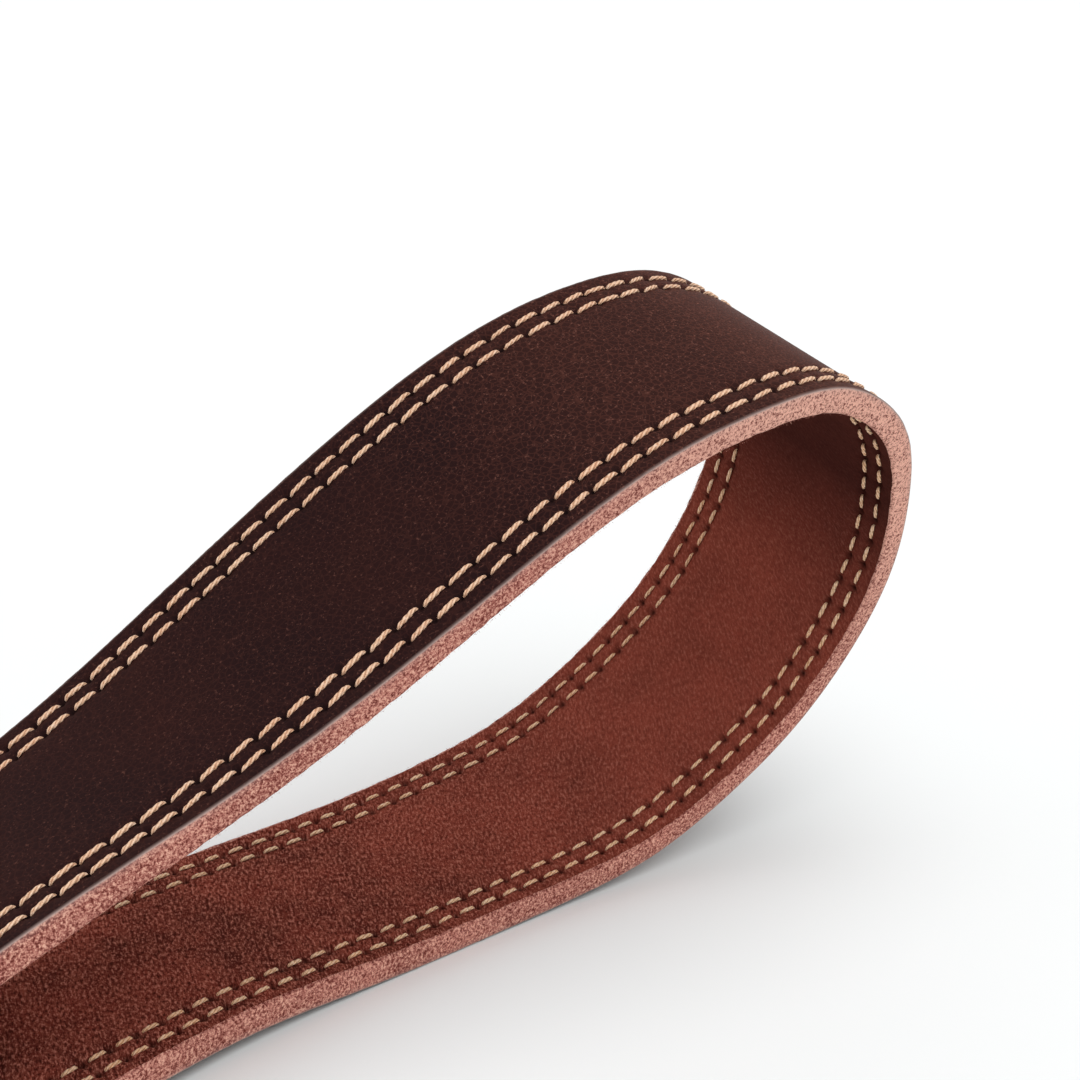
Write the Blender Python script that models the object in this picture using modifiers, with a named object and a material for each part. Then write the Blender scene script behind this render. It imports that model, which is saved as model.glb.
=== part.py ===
"""Training leash of one stitched leather strap: a sewn hand loop, a lead rolled up on its edge,
and a swivel bolt snap held in the folded far end. Metres, +Z up, resting on the floor at z = 0.
The origin is on the floor below the middle of the hand loop's lap; +X points to the loop's bend."""

import math

import bmesh
import bpy
import numpy as np
from mathutils import Matrix, Vector

MM = 0.001

# The leather and its sewing
STRAP_WIDTH = 25.0 * MM
STRAP_THICK = 2.7 * MM
GAP = 0.3 * MM  # room left between faces that touch on the real leash
LEAD_LENGTH = 1470.0 * MM  # from the hand loop's lap to the snap's lap, as it would lie straight
THREAD_WIDTH = 0.9 * MM
THREAD_RISE = 0.3 * MM
OUTER_ROW_INSET = 1.9 * MM
INNER_ROW_INSET = 3.8 * MM
TACK_WIDTH = 12.0 * MM  # the sewn box that closes each lap
HAND_TACK_LENGTH = 36.0 * MM
SNAP_TACK_LENGTH = 12.0 * MM
SNAP_TACK_SETBACK = 15.0 * MM  # its middle behind the end of the folded strap
THREAD_FLOOR_ROOM = 2.5 * MM  # a row stops where the leather comes this near the floor
THROAT_ROOM = 3.2 * MM  # the flesh side's rows stop where the loop closes to this
THROAT_X = 52.0 * MM

# Spacing of the rows that each length of strap is built from
LOOP_STEP = 6.0 * MM
STRETCH_STEP = 5.0 * MM
FOLD_STEP = 1.5 * MM

# The rolled length
COIL_PITCH = 19.0 * MM  # two strands side by side in each turn
COIL_CORE = 48.0 * MM  # radius where the two strands join in an S
COIL_X = -135.0 * MM

# The snap, measured along its own axis from the bar that the strap is folded round
SNAP_X = -300.0 * MM
SNAP_LAP = 45.0 * MM
EYE_WIRE = 2.0 * MM
EYE_SIDE_ROOM = 1.2 * MM
EYE_SHOULDER = 6.0 * MM
EYE_DEPTH = 16.0 * MM
EYE_CORNER = 2.5 * MM
BOSS_RADIUS = 5.0 * MM
BOSS_LENGTH = 5.5 * MM
STUD_RADIUS = 2.0 * MM
STUD_HEAD_RADIUS = 3.4 * MM
STUD_HEAD_THICK = 1.6 * MM
STUD_GRIP = 4.8 * MM
BOLT_RADIUS = 3.2 * MM
BOLT_ROOM = 0.4 * MM
BARREL_WALL = 2.4 * MM
BARREL_LENGTH = 33.0 * MM
BARREL_BEVEL = 0.8 * MM
BARREL_NECK = 1.5 * MM  # how far the neck behind the barrel is set in
NECK_LENGTH = 2.5 * MM
NECK_RAMP = 2.0 * MM
CUT_PAST = 5.0 * MM  # how far a drill runs past the face it enters
BORE_FLOOR = 2.2 * MM  # metal between the stud's hole and the bolt's bore
SPRING_SPACE = 15.0 * MM
SPRING_WIRE = 0.35 * MM
SPRING_TURNS = 6
MOUTH = 11.0 * MM
TRAVEL = 10.0 * MM
BOLT_BEVEL = 0.5 * MM
SOCKET_FLOOR = 0.5 * MM  # the knob's pin stops this far above the bolt's axis
KNOB_PIN_RADIUS = 1.6 * MM
KNOB_RADIUS = 3.0 * MM
KNOB_HEIGHT = 4.0 * MM
KNOB_CLEAR = 1.0 * MM
KNOB_CROWN = 1.2 * MM
KNOB_BEVEL = 0.8 * MM
KNOB_SETBACK = 4.0 * MM  # pin's centre behind the barrel's mouth
HOOK_WIRE = 2.9 * MM
HOOK_STEP = 2.2 * MM
HOOK_ROOT_SINK = 1.4 * MM  # how far the middle line of its root lies inside the barrel's surface
# The hook's bow in mm: off the barrel's axis, and ahead of the barrel's mouth
HOOK_BOW = [
    (-9.0, 4.5), (-12.8, 10.0), (-14.0, 16.5), (-11.5, 22.5), (-6.0, 25.5), (-1.2, 23.5), (0.2, 18.0),
]

FLAT_HEIGHT = STRAP_THICK / 2
LAP_HEIGHT = FLAT_HEIGHT + STRAP_THICK + GAP

# The hand loop as stations of the strap's middle line, in mm and degrees: x, y, rise, tilt of the
# far edge above level, and skew of the far edge towards +X. The arm's rise is over the lap's height.
ARM = [
    (-30, 0, 0, 0, 0),
    (-5, 0, 0, 0, 0),
    (18, 0, 0, 0, 0),
    (32, 0, 0.4, 0, 0),
    (46, 0.1, 2.6, -1, 2),
    (60, 0.2, 6.6, -3, 4),
    (75, 0, 11.9, -5, 6),
    (89, -1, 17.6, -5, 8),
    (106, -3.5, 27.6, 4, 7),
    (122, -6.5, 39.1, 10, 4.5),
    (139, -9.5, 49.1, 11, 3),
    (148.5, -10.5, 51.6, 11, 2),
    (158.5, -10.5, 51.6, 11, 1),
    (167.5, -10, 47.6, 13, 0),
    (174, -8, 40.1, 14, 1),
    (177, -6, 31.1, 15, 3),
    (176.5, -3.5, 21.6, 14, 5),
    (172.5, -1, 12.6, 12, 6),
]
# The lower leg's rise is over the height of leather lying flat.
LEG = [
    (165.5, 1, 8.6, 9, 6),
    (157, 2.5, 3.6, 6, 5),
    (147, 3.5, 1.25, 3, 3),
    (137, 4, 0.35, 1, 1),
    (123, 4.2, 0.15, 0, 0),
    (107, 3.8, 0.65, -2, -4),
    (85, 1.5, 0.65, -2, -5),
    (60, 0.2, 0.15, 0, -2),
    (35, 0, 0, 0, 0),
    (5, 0, 0, 0, 0),
    (-30, 0, 0, 0, 0),
]
# The free lead turns on to its edge before the roll, and back to flat after it: x, y and tilt.
LEAD_TO_ROLL = [
    (-30.3, 0, 0),
    (-42, 0, -4),
    (-56, 0, -20),
    (-70, 0, -42),
    (-84, 0, -64),
    (-98, 0, -82),
    (-112, 0, -90),
]
ROLL_TO_SNAP = [
    (-158, 0, -90),
    (-172, 0, -98),
    (-186, 0, -116),
    (-200, 0, -138),
    (-214, 0, -160),
    (-226, 0, -176),
    (-238, 0, -180),
]
# The climb on to the snap's lap: mm short of the folded end, and share of the lap's step up
STEP_UP = [(12, 0.12), (7, 0.6), (1, 1.03), (-10, 1.0), (-23, 1.0)]


def natural_spline(rows, spacing):
    """Rows read off a natural cubic spline through the given rows, about one spacing apart."""
    rows = np.array(rows, dtype=float)
    knots = np.concatenate([[0.0], np.cumsum(np.linalg.norm(np.diff(rows[:, :3], axis=0), axis=1))])
    gaps = np.diff(knots)
    count = len(knots)
    system = np.eye(count)
    target = np.zeros((count, rows.shape[1]))
    for i in range(1, count - 1):
        system[i, i - 1 : i + 2] = gaps[i - 1], 2 * (gaps[i - 1] + gaps[i]), gaps[i]
        target[i] = 6 * ((rows[i + 1] - rows[i]) / gaps[i] - (rows[i] - rows[i - 1]) / gaps[i - 1])
    bend = np.linalg.solve(system, target)
    at = np.linspace(0.0, knots[-1], max(2, math.ceil(knots[-1] / spacing) + 1))
    span = np.clip(np.searchsorted(knots, at, side="right") - 1, 0, count - 2)
    width = gaps[span][:, None]
    before = (knots[span + 1] - at)[:, None] / width
    after = 1.0 - before
    curve = (before**3 - before) * bend[span] + (after**3 - after) * bend[span + 1]
    return before * rows[span] + after * rows[span + 1] + curve * width**2 / 6


def strap_frames(rows):
    """Centre, direction across and outward grain normal of the strap at each row."""
    centre = rows[:, :3]
    along = np.gradient(centre, axis=0)
    along /= np.linalg.norm(along, axis=1, keepdims=True)
    tilt, skew = np.radians(rows[:, 3]), np.radians(rows[:, 4])
    level = np.cos(tilt)
    across = np.stack([np.sin(skew) * level, np.cos(skew) * level, np.sin(tilt)], axis=1)
    across -= along * np.sum(across * along, axis=1, keepdims=True)
    across /= np.linalg.norm(across, axis=1, keepdims=True)
    return centre, across, np.cross(along, across)


def resting_height(tilt):
    """Height of the strap's middle line when its lower edge is on the floor."""
    angle = math.radians(tilt)
    return abs(math.sin(angle)) * STRAP_WIDTH / 2 + abs(math.cos(angle)) * STRAP_THICK / 2


def hand_loop_rows():
    arm = [(x * MM, y * MM, LAP_HEIGHT + rise * MM, tilt, skew) for x, y, rise, tilt, skew in ARM]
    leg = [(x * MM, y * MM, FLAT_HEIGHT + rise * MM, tilt, skew) for x, y, rise, tilt, skew in LEG]
    return arm + leg


def coil_radius():
    """Outer radius of the roll that takes the lead's length less its two free stretches."""
    free = (LEAD_TO_ROLL[0][0] * MM - COIL_X) + (COIL_X - ROLL_TO_SNAP[-1][0] * MM)
    core = math.pi * COIL_CORE
    return math.sqrt(COIL_CORE**2 + (LEAD_LENGTH - free - core) * COIL_PITCH / (2 * math.pi))


COIL_RADIUS = coil_radius()
SNAP_Y = 2 * COIL_RADIUS
BORE_RADIUS = BOLT_RADIUS + BOLT_ROOM
BARREL_RADIUS = BORE_RADIUS + BARREL_WALL
SNAP_Z = BARREL_RADIUS + GAP
FOLD_RADIUS = EYE_WIRE + GAP + STRAP_THICK / 2


def fold_rows():
    """The strap's far end: over its own lap, round the snap's bar and back beneath."""
    top = SNAP_Z + FOLD_RADIUS
    bottom = SNAP_Z - FOLD_RADIUS
    lap_from = SNAP_X + SNAP_LAP
    rise = LAP_HEIGHT - FLAT_HEIGHT
    rows = [(ROLL_TO_SNAP[-1][0] * MM - GAP, FLAT_HEIGHT)]
    rows += [(lap_from + ahead * MM, FLAT_HEIGHT + part * rise) for ahead, part in STEP_UP]
    rows += [
        (SNAP_X + 13 * MM, (2 * LAP_HEIGHT + top) / 3),
        (SNAP_X + 5 * MM, top - 0.6 * MM),
    ]
    for step in range(7):
        turn = math.radians(90 + 30 * step)
        rows.append((SNAP_X + FOLD_RADIUS * math.cos(turn), SNAP_Z + FOLD_RADIUS * math.sin(turn)))
    rows += [
        (SNAP_X + 5 * MM, (bottom + FLAT_HEIGHT) / 2),
        (SNAP_X + 12 * MM, FLAT_HEIGHT + 0.15 * MM),
        (SNAP_X + 24 * MM, FLAT_HEIGHT + 0.05 * MM),
        (lap_from, FLAT_HEIGHT),
    ]
    return [(x, SNAP_Y, z, -180, 0) for x, z in rows]


def plain_material(name, color, roughness, metallic=0.0):
    material = bpy.data.materials.new(name)
    material.use_nodes = True
    shader = material.node_tree.nodes["Principled BSDF"]
    shader.inputs["Base Color"].default_value = (*color, 1.0)
    shader.inputs["Roughness"].default_value = roughness
    shader.inputs["Metallic"].default_value = metallic
    return material


def clear_scene():
    for obj in list(bpy.data.objects):
        bpy.data.objects.remove(obj, do_unlink=True)


def add_object(name, mesh, material, collection, parent=None):
    obj = bpy.data.objects.new(name, mesh)
    collection.objects.link(obj)
    obj.parent = parent
    mesh.materials.clear()
    mesh.materials.append(material)
    return obj


def add_empty(name, location, rotation, collection, parent=None):
    empty = bpy.data.objects.new(name, None)
    empty.location = location
    empty.rotation_euler = rotation
    empty.parent = parent
    collection.objects.link(empty)
    return empty


def ribbon(name, rows, near, far, lift, thickness, material, collection):
    """A strip of leather or thread along the strap, from one place across it to another."""
    centre, across, outward = strap_frames(rows)
    middle = centre + outward * lift
    sides = np.stack([middle + across * near, middle + across * far], axis=1)
    work = bmesh.new()
    ends = [work.verts.new(point) for point in sides[0]]
    edge = work.edges.new(ends)
    for pair in sides[1:]:
        made = bmesh.ops.extrude_edge_only(work, edges=[edge])["geom"]
        ends = [next(e.other_vert(v) for e in v.link_edges if e.other_vert(v) in made) for v in ends]
        edge = work.edges.get(ends)
        for vert, point in zip(ends, pair):
            vert.co = point
    mesh = bpy.data.meshes.new(name)
    work.to_mesh(mesh)
    work.free()
    obj = add_object(name, mesh, material, collection)
    wall = obj.modifiers.new("thickness", "SOLIDIFY")
    wall.thickness = thickness
    wall.offset = 0.0
    wall.use_even_offset = True
    return obj


def turned(name, profile, steps, material, collection, parent=None):
    """A solid of revolution from (radius, height) points that run down its outer side."""
    work = bmesh.new()
    verts = [work.verts.new((radius, 0.0, height)) for radius, height in profile]
    for pair in zip(verts, verts[1:]):
        work.edges.new(pair)
    mesh = bpy.data.meshes.new(name)
    work.to_mesh(mesh)
    work.free()
    obj = add_object(name, mesh, material, collection, parent)
    screw = obj.modifiers.new("turn", "SCREW")
    screw.steps = steps
    screw.render_steps = steps
    screw.use_merge_vertices = True
    screw.merge_threshold = 0.00001
    return obj


def round_bar(name, points, radii, closed, sides, material, collection, parent=None):
    """A mesh bar through the points, with its own radius at each."""
    curve = bpy.data.curves.new(name, "CURVE")
    curve.dimensions = "3D"
    curve.bevel_depth = 1.0
    curve.bevel_resolution = sides // 2 - 2
    curve.use_fill_caps = True
    spline = curve.splines.new("POLY")
    spline.points.add(len(points) - 1)
    for knot, point, radius in zip(spline.points, points, radii):
        knot.co = (*point, 1.0)
        knot.radius = radius
    spline.use_cyclic_u = closed
    guide = bpy.data.objects.new(name + "_guide", curve)
    collection.objects.link(guide)
    graph = bpy.context.evaluated_depsgraph_get()
    mesh = bpy.data.meshes.new_from_object(guide.evaluated_get(graph))
    bpy.data.objects.remove(guide, do_unlink=True)
    work = bmesh.new()
    work.from_mesh(mesh)
    bmesh.ops.remove_doubles(work, verts=work.verts, dist=0.000001)
    bmesh.ops.recalc_face_normals(work, faces=work.faces)
    work.to_mesh(mesh)
    work.free()
    return add_object(name, mesh, material, collection, parent)


def drill(name, radius, start, end, cutters, parent, across=False):
    """A round cutter along the snap's axis, or square to it towards +Y."""
    work = bmesh.new()
    bmesh.ops.create_cone(
        work, cap_ends=True, segments=32, radius1=radius, radius2=radius, depth=end - start,
        matrix=Matrix.Translation((0, 0, (start + end) / 2)),
    )
    if across:
        bmesh.ops.rotate(work, verts=work.verts, matrix=Matrix.Rotation(math.radians(-90), 3, "X"))
    mesh = bpy.data.meshes.new(name)
    work.to_mesh(mesh)
    work.free()
    return hide(add_object(name, mesh, bpy.data.materials["plated steel"], cutters, parent))


def hide(obj):
    obj.hide_render = True
    obj.display_type = "WIRE"
    return obj


def combine(obj, other, operation):
    change = obj.modifiers.new(other.name, "BOOLEAN")
    change.operation = operation
    change.object = other
    change.solver = "EXACT"


def rounded_corners(corners, radius, steps):
    """A closed outline with each corner replaced by an arc."""
    points = []
    count = len(corners)
    for i, corner in enumerate(corners):
        here = Vector(corner)
        back = (Vector(corners[i - 1]) - here).normalized()
        ahead = (Vector(corners[(i + 1) % count]) - here).normalized()
        half = back.angle(ahead) / 2
        reach = radius / math.tan(half)
        centre = here + (back + ahead).normalized() * (radius / math.sin(half))
        first = here + back * reach - centre
        last = here + ahead * reach - centre
        for step in range(steps + 1):
            turn = first.lerp(last, step / steps).normalized()
            points.append(tuple(centre + turn * radius))
    return points


def make_strap(leather, parts):
    """The leather: hand loop, free lead, roll and the fold round the snap's bar."""
    half = STRAP_WIDTH / 2
    shape = dict(near=-half, far=half, lift=0.0, thickness=STRAP_THICK, material=leather, collection=parts)
    ribbon("hand_loop", natural_spline(hand_loop_rows(), LOOP_STEP), **shape)
    ribbon("lead_stretch", floor_rows(LEAD_TO_ROLL, 0.0), **shape)
    ribbon("snap_stretch", floor_rows(ROLL_TO_SNAP, SNAP_Y), **shape)
    ribbon("snap_fold", natural_spline(fold_rows(), FOLD_STEP), **shape)
    edge = COIL_RADIUS + STRAP_THICK / 2
    coil = [(0, STRAP_WIDTH), (edge, STRAP_WIDTH), (edge, 0), (0, 0)]
    turned("lead_coil", coil, 64, leather, parts).location = (COIL_X, COIL_RADIUS, 0)


def floor_rows(route, offset):
    """Rows of a stretch that turns about its own length with its lower edge on the floor."""
    stations = [(x * MM, offset + y * MM, 0.0, tilt, 0.0) for x, y, tilt in route]
    rows = natural_spline(stations, STRETCH_STEP)
    rows[:, 2] = [resting_height(tilt) for tilt in rows[:, 3]]
    return rows


def make_threads(thread, parts):
    """Two rows of sewing along each edge, seen on the grain side and on the flesh side."""
    rows = natural_spline(hand_loop_rows(), LOOP_STEP)
    bend = int(np.argmax(rows[:, 0]))
    on_arm = np.arange(len(rows)) <= bend
    clear_of_floor = rows[:, 2] > FLAT_HEIGHT + THREAD_FLOOR_ROOM
    grain = rows[on_arm | clear_of_floor][1:]
    apart = rows[:, 2] - np.where(on_arm, LAP_HEIGHT + THROAT_ROOM, 0.0) > 0
    flesh = rows[apart & (rows[:, 0] > THROAT_X)]
    lift = STRAP_THICK / 2 + GAP + THREAD_RISE / 2
    half = STRAP_WIDTH / 2
    places = {
        "near_outer": OUTER_ROW_INSET - half,
        "near_inner": INNER_ROW_INSET - half,
        "far_inner": half - INNER_ROW_INSET,
        "far_outer": half - OUTER_ROW_INSET,
    }
    for place, middle in places.items():
        near, far = middle - THREAD_WIDTH / 2, middle + THREAD_WIDTH / 2
        for side, run, height in (("grain", grain, lift), ("flesh", flesh, -lift)):
            ribbon(f"{side}_thread_{place}", run, near, far, height, THREAD_RISE, thread, parts)


def make_tack(name, length, centre, thread, parts):
    """The sewn box that closes a lap, as one flat ring of thread."""
    curve = bpy.data.curves.new(name, "CURVE")
    curve.dimensions = "2D"
    curve.fill_mode = "BOTH"
    curve.extrude = THREAD_RISE / 2
    for shrink in (0.0, THREAD_WIDTH):
        x, y = length / 2 - shrink, TACK_WIDTH / 2 - shrink
        spline = curve.splines.new("POLY")
        spline.points.add(3)
        for knot, corner in zip(spline.points, ((-x, -y), (x, -y), (x, y), (-x, y))):
            knot.co = (*corner, 0.0, 1.0)
        spline.use_cyclic_u = True
    curve.materials.append(thread)
    obj = bpy.data.objects.new(name, curve)
    obj.location = (*centre, LAP_HEIGHT + STRAP_THICK / 2 + GAP + THREAD_RISE / 2)
    parts.objects.link(obj)


def make_eye(metal, parts, cutters, pivot):
    """The swivel's eye: a closed loop with a straight bar for the strap, and a drilled boss."""
    half = STRAP_WIDTH / 2 + EYE_SIDE_ROOM + EYE_WIRE
    waist = BOSS_RADIUS - 0.5 * MM
    corners = [
        (0, -half, 0), (0, half, 0), (0, half, EYE_SHOULDER),
        (0, waist, EYE_DEPTH), (0, -waist, EYE_DEPTH), (0, -half, EYE_SHOULDER),
    ]
    outline = rounded_corners(corners, EYE_CORNER, 4)
    eye = round_bar("snap_eye", outline, [EYE_WIRE] * len(outline), True, 10, metal, parts, pivot)
    start = EYE_DEPTH - EYE_WIRE - 1.0 * MM
    end = start + BOSS_LENGTH
    combine(eye, drill("eye_boss", BOSS_RADIUS, start, end, cutters, pivot), "UNION")
    hole = drill("eye_bore", STUD_RADIUS + GAP, start - CUT_PAST, end + CUT_PAST, cutters, pivot)
    combine(eye, hole, "DIFFERENCE")
    return start, end


def make_stud(metal, parts, pivot, boss_start, boss_end):
    """The headed pin that the eye turns on, held in the back of the barrel."""
    head_top = boss_start - GAP
    tip = boss_end + GAP + STUD_GRIP
    profile = [
        (0, tip), (STUD_RADIUS, tip), (STUD_RADIUS, head_top), (STUD_HEAD_RADIUS, head_top),
        (STUD_HEAD_RADIUS, head_top - STUD_HEAD_THICK / 2),
        (STUD_HEAD_RADIUS * 0.7, head_top - STUD_HEAD_THICK), (0, head_top - STUD_HEAD_THICK),
    ]
    turned("swivel_stud", profile, 32, metal, parts, pivot)
    return tip


def make_body(metal, parts, cutters, pivot, boss_end, stud_tip):
    """The snap's barrel and hook in one casting, bored for the bolt and slotted for its knob."""
    back = boss_end + GAP
    front = back + BARREL_LENGTH
    neck = BARREL_RADIUS - BARREL_NECK
    profile = [
        (0, front), (BARREL_RADIUS - BARREL_BEVEL, front), (BARREL_RADIUS, front - BARREL_BEVEL),
        (BARREL_RADIUS, back + NECK_LENGTH + NECK_RAMP), (neck, back + NECK_LENGTH),
        (neck, back + BARREL_BEVEL), (neck - BARREL_BEVEL, back), (0, back),
    ]
    body = turned("snap_body", profile, 36, metal, parts, pivot)
    root = BARREL_RADIUS - HOOK_ROOT_SINK
    hook = [(-root, front - 7 * MM), (-root - 0.8 * MM, front - 1 * MM)]
    hook += [(aside * MM, front + ahead * MM) for aside, ahead in HOOK_BOW]
    hook += [(0.0, front + MOUTH + 2 * MM), (0.0, front + MOUTH)]
    points = natural_spline([(0.0, y, z) for y, z in hook], HOOK_STEP)
    radii = [HOOK_WIRE] * len(points)
    hook_bar = hide(round_bar("hook_bar", points.tolist(), radii, False, 14, metal, cutters, pivot))
    combine(body, hook_bar, "UNION")
    bore_start = stud_tip + GAP + BORE_FLOOR
    bore = drill("bolt_bore", BORE_RADIUS, bore_start, front + MOUTH / 2, cutters, pivot)
    combine(body, bore, "DIFFERENCE")
    hole = drill("stud_hole", STUD_RADIUS + GAP, back - CUT_PAST, stud_tip + GAP, cutters, pivot)
    combine(body, hole, "DIFFERENCE")
    slot_half = KNOB_PIN_RADIUS + GAP
    knob = front - KNOB_SETBACK
    work = bmesh.new()
    bmesh.ops.create_cube(work, size=1.0)
    size = (2 * slot_half, 2 * BARREL_RADIUS, TRAVEL + 2 * slot_half)
    bmesh.ops.scale(work, verts=work.verts, vec=size)
    bmesh.ops.translate(work, verts=work.verts, vec=(0, BARREL_RADIUS, knob - TRAVEL / 2))
    mesh = bpy.data.meshes.new("knob_slot")
    work.to_mesh(mesh)
    work.free()
    combine(body, hide(add_object("knob_slot", mesh, metal, cutters, pivot)), "DIFFERENCE")
    return bore_start, front, knob


def make_bolt(metal, spring_steel, parts, cutters, pivot, bore_start, front, knob):
    """The sliding bolt that shuts the hook's mouth, its spring, and the knob that draws it back."""
    bolt_back = bore_start + SPRING_SPACE
    bolt_tip = front + MOUTH - GAP
    profile = [
        (0, bolt_tip), (BOLT_RADIUS - BOLT_BEVEL, bolt_tip), (BOLT_RADIUS, bolt_tip - BOLT_BEVEL),
        (BOLT_RADIUS, bolt_back), (0, bolt_back),
    ]
    bolt = turned("bolt", profile, 32, metal, parts, pivot)
    place = add_empty("knob_place", (0, 0, knob), (0, 0, 0), parts, pivot)
    wide = KNOB_PIN_RADIUS + GAP
    socket = drill("knob_socket", wide, SOCKET_FLOOR, BOLT_RADIUS * 2, cutters, place, across=True)
    combine(bolt, socket, "DIFFERENCE")
    under = BARREL_RADIUS + KNOB_CLEAR
    top = under + KNOB_HEIGHT
    profile = [
        (0, top), (KNOB_RADIUS * 0.6, top), (KNOB_RADIUS, top - KNOB_CROWN),
        (KNOB_RADIUS, under + KNOB_BEVEL), (KNOB_RADIUS - KNOB_BEVEL, under), (KNOB_PIN_RADIUS, under),
        (KNOB_PIN_RADIUS, SOCKET_FLOOR + GAP), (0, SOCKET_FLOOR + GAP),
    ]
    turned("thumb_knob", profile, 24, metal, parts, place).rotation_euler = (math.radians(-90), 0, 0)
    coil_radius_mid = BORE_RADIUS - GAP - SPRING_WIRE
    start = bore_start + GAP + SPRING_WIRE
    end = bolt_back - GAP - SPRING_WIRE
    count = SPRING_TURNS * 12
    helix = []
    for i in range(count + 1):
        turn = 2 * math.pi * SPRING_TURNS * i / count
        height = start + (end - start) * i / count
        helix.append((coil_radius_mid * math.cos(turn), coil_radius_mid * math.sin(turn), height))
    round_bar("bolt_spring", helix, [SPRING_WIRE] * len(helix), False, 6, spring_steel, parts, pivot)


def main():
    clear_scene()
    parts = bpy.data.collections.new("training_leash")
    cutters = bpy.data.collections.new("cutters")
    bpy.context.scene.collection.children.link(parts)
    bpy.context.scene.collection.children.link(cutters)
    leather = plain_material("brown leather", (0.055, 0.022, 0.018), 0.55)
    thread = plain_material("tan thread", (0.62, 0.38, 0.16), 0.7)
    metal = plain_material("plated steel", (0.62, 0.6, 0.57), 0.25, 1.0)
    spring_steel = plain_material("spring steel", (0.4, 0.4, 0.41), 0.3, 1.0)
    make_strap(leather, parts)
    make_threads(thread, parts)
    make_tack("hand_lap_tack", HAND_TACK_LENGTH, (0.0, 0.0), thread, parts)
    snap_tack_x = SNAP_X + SNAP_LAP - SNAP_TACK_SETBACK
    make_tack("snap_lap_tack", SNAP_TACK_LENGTH, (snap_tack_x, SNAP_Y), thread, parts)
    pivot = add_empty("eye_pivot", (SNAP_X, SNAP_Y, SNAP_Z), (0, math.radians(-90), 0), parts)
    boss_start, boss_end = make_eye(metal, parts, cutters, pivot)
    stud_tip = make_stud(metal, parts, pivot, boss_start, boss_end)
    bore_start, front, knob = make_body(metal, parts, cutters, pivot, boss_end, stud_tip)
    make_bolt(metal, spring_steel, parts, cutters, pivot, bore_start, front, knob)


main()
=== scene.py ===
"""Looks of a stitched leather training leash: a sewn hand loop, a lead rolled up on its edge,
and a swivel bolt snap held in the folded far end. Metres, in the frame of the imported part."""

import math

import bmesh
import bpy
import numpy as np
from mathutils import Matrix, Vector


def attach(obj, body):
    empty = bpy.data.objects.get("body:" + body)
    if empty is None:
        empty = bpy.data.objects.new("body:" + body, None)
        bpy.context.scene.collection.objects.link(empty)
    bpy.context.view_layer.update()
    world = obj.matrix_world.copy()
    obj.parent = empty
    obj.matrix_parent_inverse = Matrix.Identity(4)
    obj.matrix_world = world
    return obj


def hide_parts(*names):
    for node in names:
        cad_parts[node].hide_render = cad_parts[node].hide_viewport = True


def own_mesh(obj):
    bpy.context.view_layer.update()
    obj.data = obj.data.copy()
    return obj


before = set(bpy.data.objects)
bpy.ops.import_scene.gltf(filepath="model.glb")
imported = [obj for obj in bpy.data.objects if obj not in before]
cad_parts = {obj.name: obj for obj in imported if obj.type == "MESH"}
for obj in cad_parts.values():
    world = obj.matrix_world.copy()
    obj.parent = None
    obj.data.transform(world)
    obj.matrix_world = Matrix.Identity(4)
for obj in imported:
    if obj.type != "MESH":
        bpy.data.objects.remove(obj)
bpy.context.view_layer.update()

MM = 0.001

# The leather and its sewing, as the part has them
STRAP_WIDTH = 25.0 * MM
STRAP_THICK = 2.7 * MM
GAP = 0.3 * MM
LEAD_LENGTH = 1470.0 * MM
HALF_WIDTH = STRAP_WIDTH / 2
HALF_THICK = STRAP_THICK / 2
FLAT_HEIGHT = HALF_THICK
LAP_HEIGHT = FLAT_HEIGHT + STRAP_THICK + GAP
LAP_TOP = LAP_HEIGHT + HALF_THICK
STITCH_PITCH = 2.8 * MM
ROW_INSETS = {"outer": 1.9 * MM, "inner": 3.8 * MM}
ROW_PHASES = {"outer": 0.0, "inner": 0.04}  # the two needles work almost level
TACK_WIDTH = 12.0 * MM
HAND_TACK_LENGTH = 36.0 * MM
SNAP_TACK_LENGTH = 12.0 * MM

# The roll and the snap's place
COIL_PITCH = 19.0 * MM
COIL_CORE = 48.0 * MM
COIL_X = -135.0 * MM
SNAP_X = -300.0 * MM
SNAP_LAP = 45.0 * MM
SNAP_TACK_SETBACK = 15.0 * MM  # from the lap's end to the middle of its sewn box
SNAP_Z = 6.3 * MM
EYE_WIRE = 2.0 * MM
FOLD_RADIUS = EYE_WIRE + GAP + HALF_THICK

# Stations of the strap's middle line, in mm and degrees: x, y, rise, tilt of the far edge and skew.
ARM = [
    (-30, 0, 0, 0, 0),
    (-5, 0, 0, 0, 0),
    (18, 0, 0, 0, 0),
    (32, 0, 0.4, 0, 0),
    (46, 0.1, 2.6, -1, 2),
    (60, 0.2, 6.6, -3, 4),
    (75, 0, 11.9, -5, 6),
    (89, -1, 17.6, -5, 8),
    (106, -3.5, 27.6, 4, 7),
    (122, -6.5, 39.1, 10, 4.5),
    (139, -9.5, 49.1, 11, 3),
    (148.5, -10.5, 51.6, 11, 2),
    (158.5, -10.5, 51.6, 11, 1),
    (167.5, -10, 47.6, 13, 0),
    (174, -8, 40.1, 14, 1),
    (177, -6, 31.1, 15, 3),
    (176.5, -3.5, 21.6, 14, 5),
    (172.5, -1, 12.6, 12, 6),
]
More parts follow.
